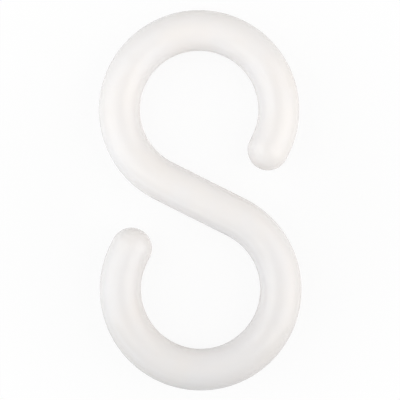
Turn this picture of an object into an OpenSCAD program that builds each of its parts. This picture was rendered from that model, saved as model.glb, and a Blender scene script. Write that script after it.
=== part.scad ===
// S hook: one round rod, moulded in one piece as two open eyes joined by a straight.
// It lies on its side on z = 0 with its middle over the origin. The upper eye is
// towards +Y and opens towards +X. The lower eye is the upper one given half a turn
// about the Z axis, so it is towards -Y and opens towards -X.

/* [Rod] */
// Diameter of the round rod
rod_d = 6; // [4:0.1:8]

/* [Eyes] */
// Clear diameter inside each eye
eye_bore = 17.2; // [14:0.1:26]
// Length of the short straight before each rounded tip, which narrows the way in
tip_len = 0.75; // [0.2:0.05:2.5]

/* [Straight] */
// Length of the straight that joins the two eyes
straight_len = 11.9; // [6:0.1:20]

/* [Hidden] */

plastic = [0.95, 0.94, 0.93];
quarter_turn = 90;
half_turn = 2 * quarter_turn;
$fn = 96;

// Radius of an eye, measured to the middle of the rod
bend_r = (eye_bore + rod_d) / 2;
// How far the straight leans down towards +X, so that both eyes centre on the Y axis
lean = atan(straight_len / (2 * bend_r));

// The rounded end of the rod: half a ball with its flat face on z = 0
module ball_end()
    rotate_extrude()
        intersection() {
            circle(d = rod_d);
            square(rod_d);
        }

// One eye, laid out about its own centre. The rod leaves the straight below the
// centre, runs clockwise through three quarters of a turn and ends pointing down on
// the right, square to the straight. Its way in is bend_r - tip_len - rod_d wide.
module eye() {
    rotate_extrude(angle = 3 * quarter_turn)
        translate([bend_r, 0])
            circle(d = rod_d);
    translate([bend_r, 0, 0])
        rotate([quarter_turn, 0, 0]) {
            cylinder(d = rod_d, h = tip_len);
            translate([0, 0, tip_len])
                ball_end();
        }
}

// The straight, along the X axis, centred on the origin
module straight()
    rotate([0, quarter_turn, 0])
        cylinder(d = rod_d, h = straight_len, center = true);

module s_hook()
    color(plastic)
        translate([0, 0, rod_d / 2])
            rotate([0, 0, -lean]) {
                straight();
                for (turn = [0, half_turn])
                    rotate([0, 0, turn])
                        translate([-straight_len / 2, bend_r, 0])
                            eye();
            }

s_hook();
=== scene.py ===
# %% [markdown]
# # A moulded S hook
# The hook is one round rod of white plastic, which its mould gives two open eyes. In
# Blender such a rod could be a curve with a round bevel, or a circle carried along a path
# by hand. Here the second way is used, in numpy, because it leaves every point of the
# surface under our control. The engineering model is loaded first. It gives the frame, in
# metres, that the finished surface has to fit.

import math

import bpy
import numpy as np
from mathutils import Matrix, Vector


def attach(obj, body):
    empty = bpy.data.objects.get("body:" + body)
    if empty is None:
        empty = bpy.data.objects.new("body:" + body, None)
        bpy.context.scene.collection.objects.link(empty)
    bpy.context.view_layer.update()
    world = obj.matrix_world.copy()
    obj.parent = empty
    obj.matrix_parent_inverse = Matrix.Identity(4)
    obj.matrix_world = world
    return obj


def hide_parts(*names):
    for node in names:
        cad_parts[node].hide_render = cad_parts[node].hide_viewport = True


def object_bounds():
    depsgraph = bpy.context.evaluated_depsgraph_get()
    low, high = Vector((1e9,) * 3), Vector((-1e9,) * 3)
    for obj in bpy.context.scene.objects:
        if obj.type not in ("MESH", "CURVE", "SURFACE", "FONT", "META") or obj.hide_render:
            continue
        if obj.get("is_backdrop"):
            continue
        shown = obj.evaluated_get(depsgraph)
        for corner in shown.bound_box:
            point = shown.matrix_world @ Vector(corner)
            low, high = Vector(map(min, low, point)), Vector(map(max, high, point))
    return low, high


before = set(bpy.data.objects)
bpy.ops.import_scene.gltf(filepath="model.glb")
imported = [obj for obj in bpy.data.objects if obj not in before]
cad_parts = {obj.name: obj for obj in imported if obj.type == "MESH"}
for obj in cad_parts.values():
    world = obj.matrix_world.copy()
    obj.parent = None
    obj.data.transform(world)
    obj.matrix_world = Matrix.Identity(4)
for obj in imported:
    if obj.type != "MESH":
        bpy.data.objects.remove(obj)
cad_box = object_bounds()
MM = 0.001
print("engineering model, mm:", [round(c / MM, 3) for corner in cad_box for c in corner])

# %% [markdown]
# ## The sizes of the rod
# The rod is 6 mm thick. It runs straight through the middle, turns through three quarters
# of a circle at each end, and stops in a ball end that nearly closes the eye. The straight
# leans, so that the two eyes sit one above the other. The sizes could be measured on the
# loaded model, but the numbers that made it say more than its triangles do. So the names
# and values of the engineering model are repeated here, and the two shapes agree.

# %% Sizes of the rod
ROD_R = 3.0 * MM
EYE_BORE = 17.2 * MM
STRAIGHT_LEN = 11.9 * MM
TIP_LEN = 0.75 * MM
BEND_R = EYE_BORE / 2 + ROD_R
LEAN = math.atan(STRAIGHT_LEN / (2 * BEND_R))
QUARTER = math.pi / 2
BEND_LEN = 3 * QUARTER * BEND_R
TIP_START = STRAIGHT_LEN / 2 + BEND_LEN
HALF_LEN = TIP_START + TIP_LEN + ROD_R
print("rod along its middle, mm:", round(2 * HALF_LEN / MM, 2))

# %% [markdown]
# ## The path through the middle of the rod
# A point on the path is named by its distance from the middle of the hook, which is
# positive towards one tip and negative towards the other. A curve object could follow the
# same path, but it would only come near the true circles. Here the path is exact. One half
# of the hook is the other given half a turn, so a single half is worked out and its sign is
# flipped. There are no loops: each line works on all the points at once.

# %% The path


def path(distance):
    """Place and direction of the rod's middle line, as arrays, at signed distances along it.

    Up to half the straight, it is a line along -X. Then it is a clockwise circle of radius
    BEND_R: its angle is three quarters of a turn, less the distance into the bend over the
    radius. Past the bend it runs straight down. At a negative distance the place is minus
    the place at the positive one. In the end all is turned by LEAN."""
    gone = np.abs(distance)
    side = np.where(distance < 0, -1.0, 1.0)
    angle = 3 * QUARTER - (gone - STRAIGHT_LEN / 2) / BEND_R
    parts = [gone <= STRAIGHT_LEN / 2, gone <= TIP_START]
    x = np.select(parts, [-gone, BEND_R * np.cos(angle) - STRAIGHT_LEN / 2], BEND_R - STRAIGHT_LEN / 2)
    y = np.select(parts, [0 * gone, BEND_R + BEND_R * np.sin(angle)], BEND_R - (gone - TIP_START))
    along_x = np.select(parts, [-1 + 0 * gone, np.sin(angle)], 0)
    along_y = np.select(parts, [0 * gone, -np.cos(angle)], -1)
    cos, sin = math.cos(LEAN), -math.sin(LEAN)
    place = np.stack([x * cos - y * sin, x * sin + y * cos], -1) * side[:, None]
    along = np.stack([along_x * cos - along_y * sin, along_x * sin + along_y * cos], -1)
    return place, along


tips, _ = path(np.array([-HALF_LEN, HALF_LEN]))
print("tips of the rod, mm:", np.round(tips / MM, 2).tolist())

# %% [markdown]
# ## The skin of the rod
# A mould for a round rod is made in two halves that meet on the plane of the S. Each half
# is cut a hair shallow towards that plane, so that the hook lets go of it, and a very fine
# line of plastic stands up where the halves meet. The plastic also sinks unevenly as it
# cools, by less than a tenth of a millimetre, and reflections waver there. A bump in the
# material could stand in for all three, but the outline would stay perfect and the bare
# mesh would lose them. So they are real shape here.

# %% Heights of the parting line, the draft and the shrinkage
DRAFT = 0.045 * MM
LINE_HEIGHT = 0.040 * MM
LINE_HALF_ANGLE = math.radians(1.5)
SHRINK = 0.08 * MM
# Length of each wave along the rod, its whole number of waves round it, and its shift
SHRINK_WAVES = [(13.1 * MM, 1, 0.4), (7.3 * MM, 2, 2.1), (4.7 * MM, 1, 4.4), (3.4 * MM, 3, 1.3)]
SHRINK_MEAN = 0.55
SHRINK_SWING = 0.45

# %% Radius of the skin


def dome(distance):
    """Share of the full radius that a ring has. It is 1 along the rod. In the last ROD_R
    before a tip it is the height of a quarter circle: the square root of 1 less the square
    of how far the ring is into the dome."""
    into = np.clip(np.abs(distance) - (HALF_LEN - ROD_R), 0, ROD_R) / ROD_R
    return np.sqrt(1 - into ** 2)


def shrinkage(distance, turn):
    """Unevenness from 0.1 to 1: the mean, less the swing times the average of the waves.
    Each wave is the sine of its turns along the rod, its turns round it and its shift."""
    waves = [
        np.sin(2 * math.pi * distance / length + around * turn + shift)
        for length, around, shift in SHRINK_WAVES
    ]
    return SHRINK_MEAN - SHRINK_SWING * sum(waves) / len(waves)


def radius(distance, turn):
    """The full radius, less the draft, which grows as the squared cosine of the angle round
    the rod, less the shrinkage, which fades as the draft grows, plus a parting line shaped
    as a squared cosine across its width. All of it shrinks with the dome."""
    to_line = np.abs(np.arcsin(np.sin(turn)))
    line = np.cos(QUARTER * np.clip(to_line / LINE_HALF_ANGLE, 0, 1)) ** 2
    near_line = np.cos(turn) ** 2
    away = 1 - near_line
    sunk = DRAFT * near_line + SHRINK * shrinkage(distance, turn) * away
    return dome(distance) * (ROD_R - sunk + LINE_HEIGHT * line)


middle = radius(np.zeros(2), np.array([0, QUARTER]))
print("radius in the middle, at the parting line and on top, mm:", np.round(middle / MM, 3).tolist())

# %% [markdown]
# ## Rings and poles
# The surface is a grid: rings along the rod, and points round each ring. Evenly spaced
# points would need about ten times as many faces to catch the parting line. So the points
# crowd together at that line, and the rings crowd together in the ball ends. Each tip is
# closed by a single point, with a fan of triangles to its last ring.

# %% Where the rings and their points stand
RING_STEP = 0.25 * MM
DOME_RINGS = 18
FINE_DEGREES = [0, 0.4, 0.75, 1.1, 1.5, 2.1, 3.0]
COARSE_POINTS = 21


def ring_distances():
    """Even steps along the rod, and even angles in each dome, leaving out the poles."""
    body = HALF_LEN - ROD_R
    even = np.linspace(-body, body, 1 + round(2 * body / RING_STEP))
    cap = body + ROD_R * np.sin(np.linspace(0, QUARTER, DOME_RINGS + 1)[1:-1])
    return np.concatenate([-cap[::-1], even, cap])


def ring_angles():
    """One quarter turn, fine next to the parting line and even after it, mirrored into four."""
    fine = np.radians(FINE_DEGREES)
    quarter = np.concatenate([fine, np.linspace(fine[-1], QUARTER, COARSE_POINTS)[1:]])
    half_turn = np.concatenate([quarter, math.pi - quarter[-2::-1]])
    return np.concatenate([half_turn, 2 * math.pi - half_turn[-2:0:-1]])


rings, turns = ring_distances(), ring_angles()
n_rings, n_round = len(rings), len(turns)
print("rings:", n_rings, "points round each:", n_round)

# %% The grid


def skin(distance, turn):
    """Grid of points. From the path, go the radius of the skin at the angle round the rod:
    its cosine sideways, in the plane of the S, and its sine upwards. The rod lies on z = 0.
    The second grid holds the same points on a rod that was never bent."""
    place, along = path(distance)
    sideways = np.stack([-along[:, 1], along[:, 0]], -1)[:, None, :]
    out = radius(distance[:, None], turn[None, :])
    across, up = out * np.cos(turn), out * np.sin(turn)
    flat = place[:, None, :] + across[..., None] * sideways
    bent = np.concatenate([flat, (ROD_R + up)[..., None]], -1)
    straight = np.stack([distance[:, None] + 0 * across, across, up], -1)
    return bent, straight


bent, straight = skin(rings, turns)
points = np.concatenate([bent.reshape(-1, 3), np.column_stack([tips, [ROD_R, ROD_R]])])
straight_tips = np.array([[-HALF_LEN, 0, 0], [HALF_LEN, 0, 0]])
straight_points = np.concatenate([straight.reshape(-1, 3), straight_tips])
print("points:", len(points))

# %% Faces: the walls between the rings, and a fan at each tip
number = np.arange(n_rings * n_round).reshape(n_rings, n_round)
after = np.roll(number, -1, axis=1)
walls = np.stack([number[:-1], after[:-1], after[1:], number[1:]], -1).reshape(-1, 4)
first_tip, last_tip = n_rings * n_round, n_rings * n_round + 1
first_fan = np.stack([np.full(n_round, first_tip), after[0], number[0]], -1)
last_fan = np.stack([np.full(n_round, last_tip), number[-1], after[-1]], -1)
print("triangles:", 2 * len(walls) + len(first_fan) + len(last_fan))

# %% [markdown]
# ## The mesh
# The arrays go into a mesh in one call. Each point also keeps its place on the rod that was
# never bent, as an attribute, so that a material can draw flow lines that follow the bends.
# A UV map could do that too, but it would need a seam. The finished piece rides on the
# model's only body and stands for the engineering solid, which is hidden. It takes the
# white plastic material made further on.

# %% Make the hook
mesh = bpy.data.meshes.new("hook_rod")
mesh.from_pydata(points.tolist(), [], walls.tolist() + first_fan.tolist() + last_fan.tolist())
place_on_rod = mesh.attributes.new("place_on_rod", "FLOAT_VECTOR", "POINT")
place_on_rod.data.foreach_set("vector", straight_points.astype(np.float32).ravel())
mesh.polygons.foreach_set("use_smooth", np.ones(len(mesh.polygons), bool))
mended = mesh.validate()
hook = bpy.data.objects.new("hook_rod", mesh)
bpy.context.scene.collection.objects.link(hook)
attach(hook, "root")
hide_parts("s_hook")
print("faces:", len(mesh.polygons), "mended:", mended)

# %% Measure what it encloses


def enclosed(mesh, points):
    """A sixth of the sum, over the triangles, of the triple product of their corners."""
    mesh.calc_loop_triangles()
    corner = np.empty(3 * len(mesh.loop_triangles), np.int32)
    mesh.loop_triangles.foreach_get("vertices", corner)
    at = points[corner].reshape(-1, 3, 3)
    return np.einsum("ij,ij->i", at[:, 0], np.cross(at[:, 1], at[:, 2])).sum() / 6


volume = enclosed(mesh, points)
print("volume, mm3, positive when the faces point outwards:", round(volume / MM ** 3, 1))

# %% [markdown]
# ## Shader maths as Python
# A material is a tree of nodes. Written out, each sum takes three or four lines, so a small
# class wraps a node's output. With it `1 - a * b` adds its own Math nodes, and one method
# adds any other node.

# %% A wire in a node tree


class Wire:
    """One output in a node tree. Plain + - * on it add Math nodes, and node() adds any kind."""

    def __init__(self, tree, socket=None):
        self.tree, self.socket = tree, socket

    def node(self, kind, settings=None, sockets=None, output=0):
        """Adds a node, makes its settings, then fills its sockets with plain values or wires."""
        made = self.tree.nodes.new("ShaderNode" + kind)
        for name, value in (settings or {}).items():
            setattr(made, name, value)
        for name, value in (sockets or {}).items():
            if isinstance(value, Wire):
                self.tree.links.new(value.socket, made.inputs[name])
            else:
                made.inputs[name].default_value = value
        return Wire(self.tree, made.outputs[output] if made.outputs else None)

    def maths(self, operation, first, second):
        """Adds the Math node of that operation on two wires or numbers."""
        return self.node("Math", {"operation": operation}, {0: first, 1: second})

    def __add__(self, other):
        return self.maths("ADD", self, other)

    def __sub__(self, other):
        return self.maths("SUBTRACT", self, other)

    def __rsub__(self, other):
        return self.maths("SUBTRACT", other, self)

    def __mul__(self, other):
        return self.maths("MULTIPLY", self, other)

    __radd__, __rmul__ = __add__, __mul__


# %% Two helpers for materials


def new_tree(name):
    """A material with an empty node tree, and a wire to start from."""
    material = bpy.data.materials.new(name)
    material.use_nodes = True
    material.node_tree.nodes.clear()
    return material, Wire(material.node_tree)


def eased(value, low, high, at_low=0.0, at_high=1.0, curve="SMOOTHSTEP"):
    """A number that goes from at_low to at_high as the value goes from low to high. The
    change is an S-shaped curve, level at both ends, and past them the number stays."""
    sockets = {"Value": value, "From Min": low, "From Max": high, "To Min": at_low, "To Max": at_high}
    return value.node("MapRange", {"interpolation_type": curve}, sockets)


# %% [markdown]
# ## The finish of the plastic
# The hook is white plastic with a soft gloss, straight from a polished mould. Up close it
# isn't even: warmer and cooler clouds a few millimetres wide, faint flow lines where the
# melt ran along the mould, a gloss that comes and goes, and a skin like very fine orange
# peel. A picture could be painted for each of these, but noise needs no file and stays
# sharp at any distance. Clouds are noise in the object's own coordinates. Flow lines are
# noise on the rod that was never bent, stretched lengthways, so that they run round the
# bends. A little light also passes into the plastic and comes out a millimetre or so away.

# %% Noise, plain and in patches
NOISE_LOW, NOISE_HIGH = 0.25, 0.75


def noise(start, place, per_metre, detail):
    """Noise with that many features in a metre, at a place given as a vector wire."""
    sockets = {"Vector": place, "Scale": per_metre, "Detail": detail}
    return start.node("TexNoise", {"noise_dimensions": "3D"}, sockets)


def patches(start, place, per_metre, detail):
    """Noise lies mostly between two values: this stretches that part smoothly over 0 to 1."""
    return eased(noise(start, place, per_metre, detail), NOISE_LOW, NOISE_HIGH, curve="SMOOTHERSTEP")


# %% Colours, gloss and relief of the plastic
WARM_WHITE = (0.908, 0.868, 0.848, 1)
COOL_WHITE = (0.892, 0.872, 0.878, 1)
ROUGHNESS = 0.18
ROUGHNESS_CHANGE = 0.06
HALFWAY = 0.5
PEEL_HEIGHT = 0.01 * MM
PEEL_STRENGTH = 0.2
DEPTH = {"Subsurface Weight": 0.25, "Subsurface Scale": 1.5 * MM, "Subsurface Radius": (1, 1, 1)}
SAME_ALL_OVER = {"IOR": 1.49, **DEPTH}

# Features in a metre, for the flow along the rod and across it, and the noise's detail
CLOUDS_PER_M, CLOUD_DETAIL = 130, 3
FLOW_PER_M, FLOW_DETAIL = (60, 420, 420), 2
PEEL_PER_M, PEEL_DETAIL = 1500, 2

# What each adds to the colour, the gloss and the relief
CLOUDS_IN_COLOUR, FLOW_IN_COLOUR = 0.7, 0.3
CLOUDS_IN_GLOSS, FLOW_IN_GLOSS = 0.6, 0.4
PEEL_IN_RELIEF, FLOW_IN_RELIEF = 0.8, 0.2
print("clouds, mm across:", round(1 / CLOUDS_PER_M / MM, 1), "peel:", round(1 / PEEL_PER_M / MM, 2))

# %% White plastic


def white_plastic():
    """The two whites are mixed, and the roughness goes up and down, by the clouds and the
    flow lines. The bump is made of the peel and the flow lines."""
    material, start = new_tree("white_plastic")
    place = start.node("TexCoord", output="Object")
    on_rod = start.node("Attribute", {"attribute_name": "place_on_rod"}, output="Vector")
    stretched = start.node("VectorMath", {"operation": "MULTIPLY"}, {0: on_rod, 1: FLOW_PER_M})
    clouds = patches(start, place, CLOUDS_PER_M, CLOUD_DETAIL)
    flow = patches(start, stretched, 1, FLOW_DETAIL)
    peel = noise(start, place, PEEL_PER_M, PEEL_DETAIL)
    tint = clouds * CLOUDS_IN_COLOUR + flow * FLOW_IN_COLOUR
    colour = start.node("Mix", {"data_type": "RGBA"}, {"Factor": tint, 6: WARM_WHITE, 7: COOL_WHITE}, 2)
    change = CLOUDS_IN_GLOSS * clouds + FLOW_IN_GLOSS * flow - HALFWAY
    roughness = ROUGHNESS + ROUGHNESS_CHANGE * change
    relief = peel * PEEL_IN_RELIEF + flow * FLOW_IN_RELIEF
    bump = start.node("Bump", None, {"Strength": PEEL_STRENGTH, "Distance": PEEL_HEIGHT, "Height": relief})
    varied = {"Base Color": colour, "Roughness": roughness, "Normal": bump}
    shader = start.node("BsdfPrincipled", None, {**SAME_ALL_OVER, **varied})
    start.node("OutputMaterial", None, {"Surface": shader})
    return material


plastic = white_plastic()
mesh.materials.append(plastic)
print("plastic nodes:", len(plastic.node_tree.nodes))

# %% [markdown]
# ## The floor
# A pale matt floor carries the hook. Lamps strong enough to turn it white would spoil the
# light on the hook. So the Light Path node picks out the rays that should find a white
# background: from the camera, in gloss, and through anything clear. They find a white glow,
# which turns to a pale backdrop far away, so that the top of the hook stands out in low
# views. Every other ray finds a plain matt floor, which throws light back on the underside.
#
# Near the hook those rays also find a share of the floor's own shading. A small share all
# round it leaves a faint shadow. A larger one under the rod, where little of the room can
# be seen from the floor, leaves a firm shadow where the two touch. The largest is in gloss,
# where it draws a fine dark rim, which sets a white hook off from a white floor.

# %% Sizes, colours and shares of the floor
FLOOR_SIZE = 3.0
FLOOR_COLOUR = (0.86, 0.86, 0.86, 1)
WHITE = (0.998, 0.998, 0.998, 1)
BACKDROP = (0.76, 0.76, 0.76, 1)

# Distances from the middle of the hook, in metres, at which each change starts and ends
BACKDROP_FROM, BACKDROP_TO = 0.12, 1.2
SHADOW_FROM, SHADOW_TO = 0.018, 0.045
GLOSS_FROM, GLOSS_TO = 0.030, 0.060

# Shares of the floor's own shading
SHADOW_SHARE = 0.10
CONTACT_SHARE = 0.65
GLOSS_SHARE = 0.95

# How far round it a point of the floor looks for cover, and the shares of open room at
# which the contact shadow is full and gone
COVER_REACH = 0.012
COVER_SAMPLES = 16
COVERED, OPEN = 0.05, 0.42

# %% The pale floor's material


def finds_background(start, in_gloss):
    """1 for rays from the camera, in gloss and through anything clear, and 0 for the rest."""
    to_camera = start.node("LightPath", output="Is Camera Ray")
    through = start.node("LightPath", output="Is Transmission Ray")
    return start.maths("MAXIMUM", to_camera, start.maths("MAXIMUM", in_gloss, through))


def shading_share(start, away, in_gloss):
    """The largest of three shares: the faint shadow's and the gloss's, which both ease to
    nothing away from the middle, and the contact shadow's, which eases to nothing as the
    room opens up."""
    room = start.node("AmbientOcclusion", {"samples": COVER_SAMPLES}, {"Distance": COVER_REACH}, "AO")
    faint = eased(away, SHADOW_FROM, SHADOW_TO, SHADOW_SHARE, 0.0)
    contact = eased(room, COVERED, OPEN, CONTACT_SHARE, 0.0)
    gloss = in_gloss * eased(away, GLOSS_FROM, GLOSS_TO, GLOSS_SHARE, 0.0)
    return start.maths("MAXIMUM", start.maths("MAXIMUM", faint, contact), gloss)


def pale_floor():
    """A matt colour mixed with a glow. The glow's part is 1 less the share of shading, for
    the rays that find the background, and nothing for the rest. The glow itself eases from
    white to the backdrop's colour."""
    material, start = new_tree("pale_floor")
    place = start.node("TexCoord", output="Object")
    away = start.node("VectorMath", {"operation": "LENGTH"}, {0: place}, "Value")
    in_gloss = start.node("LightPath", output="Is Glossy Ray")
    part = finds_background(start, in_gloss) * (1 - shading_share(start, away, in_gloss))
    matt = start.node("BsdfDiffuse", None, {"Color": FLOOR_COLOUR})
    near = start.node("Emission", None, {"Color": WHITE})
    far = start.node("Emission", None, {"Color": BACKDROP})
    glow = start.node("MixShader", None, {0: eased(away, BACKDROP_FROM, BACKDROP_TO), 1: near, 2: far})
    surface = start.node("MixShader", None, {0: part, 1: matt, 2: glow})
    start.node("OutputMaterial", None, {"Surface": surface})
    return material


# %% Lay the floor
edge = FLOOR_SIZE / 2
corners = [(-edge, -edge, 0), (edge, -edge, 0), (edge, edge, 0), (-edge, edge, 0)]
floor_mesh = bpy.data.meshes.new("floor")
floor_mesh.from_pydata(corners, [], [(0, 1, 2, 3)])
floor_mesh.materials.append(pale_floor())
floor = bpy.data.objects.new("floor", floor_mesh)
bpy.context.scene.collection.objects.link(floor)
floor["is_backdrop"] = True
print("floor, m:", FLOOR_SIZE)

# %% [markdown]
# ## The light
# A white hook on white shows its roundness only through soft changes of light, so the lamps
# are large panels. Small lamps would leave hard bright lines along the rod. One stands on
# the left and one on the right. Both are nearer to the upper eye, so the hook darkens
# gently towards the lower one. A long, low and weak strip beyond the lower eye, mostly to
# the left, adds a touch of cool light. The room itself sends an even, warmer light from all
# round.

# %% Soft panels


def panel(name, place, aim, size, power, colour, grid, along):
    """A rectangular soft lamp that lights the hook and shows in its gloss, but not to the
    camera. Places and sizes are in millimetres. The second side of the size runs in the
    direction called along. A fabric grid in front lets the light out grid degrees wide."""
    lamp = bpy.data.lights.new(name, "AREA")
    lamp.shape, lamp.size, lamp.size_y = "RECTANGLE", size[0] * MM, size[1] * MM
    lamp.energy, lamp.color, lamp.spread = power, colour, math.radians(grid)
    made = bpy.data.objects.new(name, lamp)
    bpy.context.scene.collection.objects.link(made)
    backwards = (Vector(place) - Vector(aim)).normalized()
    side = Vector(along).cross(backwards).normalized()
    facing = Matrix((side, backwards.cross(side), backwards)).transposed().to_4x4()
    made.matrix_world = Matrix.Translation(Vector(place) * MM) @ facing
    made.visible_camera = False
    return made


ALONG_X, ALONG_Y = (1, 0, 0), (0, 1, 0)
TOP_OF_EYE, INSIDE_EYE = (0, 24, 3), (0, 10, 3)
panel("left_panel", (-61, 23, 51), TOP_OF_EYE, (110, 130), 0.0235, (0.952, 0.985, 1), 101, ALONG_Y)
panel("right_panel", (79, 11, 62), TOP_OF_EYE, (138, 145), 0.0340, (1, 0.995, 0.971), 98, ALONG_Y)
panel("near_panel", (-80, -75, 27), INSIDE_EYE, (20, 220), 0.0062, (0.65, 0.85, 1), 120, ALONG_X)
print("lamps:", [lamp.name for lamp in bpy.data.lights])

# %% The room round the hook
ROOM_COLOUR = (1, 0.987, 0.960, 1)
ROOM_LEVEL = 0.453


def studio_world():
    """The pale backdrop for the rays that find the background, and the room's light for the rest."""
    world = bpy.data.worlds.new("studio")
    world.use_nodes = True
    world.node_tree.nodes.clear()
    start = Wire(world.node_tree)
    in_gloss = start.node("LightPath", output="Is Glossy Ray")
    backdrop = start.node("Background", None, {"Color": BACKDROP, "Strength": 1.0})
    room = start.node("Background", None, {"Color": ROOM_COLOUR, "Strength": ROOM_LEVEL})
    seen = start.node("MixShader", None, {0: finds_background(start, in_gloss), 1: room, 2: backdrop})
    start.node("OutputWorld", None, {"Surface": seen})
    return world


bpy.context.scene.world = studio_world()
bpy.context.scene.view_settings.view_transform = "Standard"
print("light of the room:", ROOM_LEVEL, "of white")

# %% [markdown]
# ## The camera
# A long lens looks down on the hook from a little towards its lower eye. A short one would
# have to come close, and would see the outer parts of the rod from the side. The camera is
# turned by half a degree, and aimed so that the hook sits a touch above the middle of the
# frame.

# %% The camera
LENS = 136.0
SENSOR = 36.0
FAR_CLIP = 100
FRAME_WIDTH = 58.03 * MM
FROM_ABOVE = math.radians(3.2)
ROLL = math.radians(0.476)
AIM = (0.03 * MM, -0.15 * MM, ROD_R)

lens = bpy.data.cameras.new("camera")
lens.lens, lens.sensor_width, lens.clip_end = LENS, SENSOR, FAR_CLIP
camera = bpy.data.objects.new("camera", lens)
bpy.context.scene.collection.objects.link(camera)
reach = FRAME_WIDTH * LENS / SENSOR
tilted = Matrix.Rotation(FROM_ABOVE, 4, "X")
rolled = Matrix.Rotation(-ROLL, 4, "Z")
stepped_back = Matrix.Translation((0, 0, reach))
camera.matrix_world = Matrix.Translation(AIM) @ rolled @ tilted @ stepped_back
bpy.context.scene.camera = camera
print("camera distance, mm:", round(reach / MM, 1))

# %% [markdown]
# ## The room inside the box
# The finished surface must lie inside the engineering model's box. The last lines print, in
# millimetres, how far each side of the finished surface's box lies from the same side of the other.

# %% Sizes, and the end
shown_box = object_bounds()
spare = [round(abs(a - b) / MM, 3) for p, q in zip(cad_box, shown_box) for a, b in zip(p, q)]
print("room inside the box, mm:", spare)
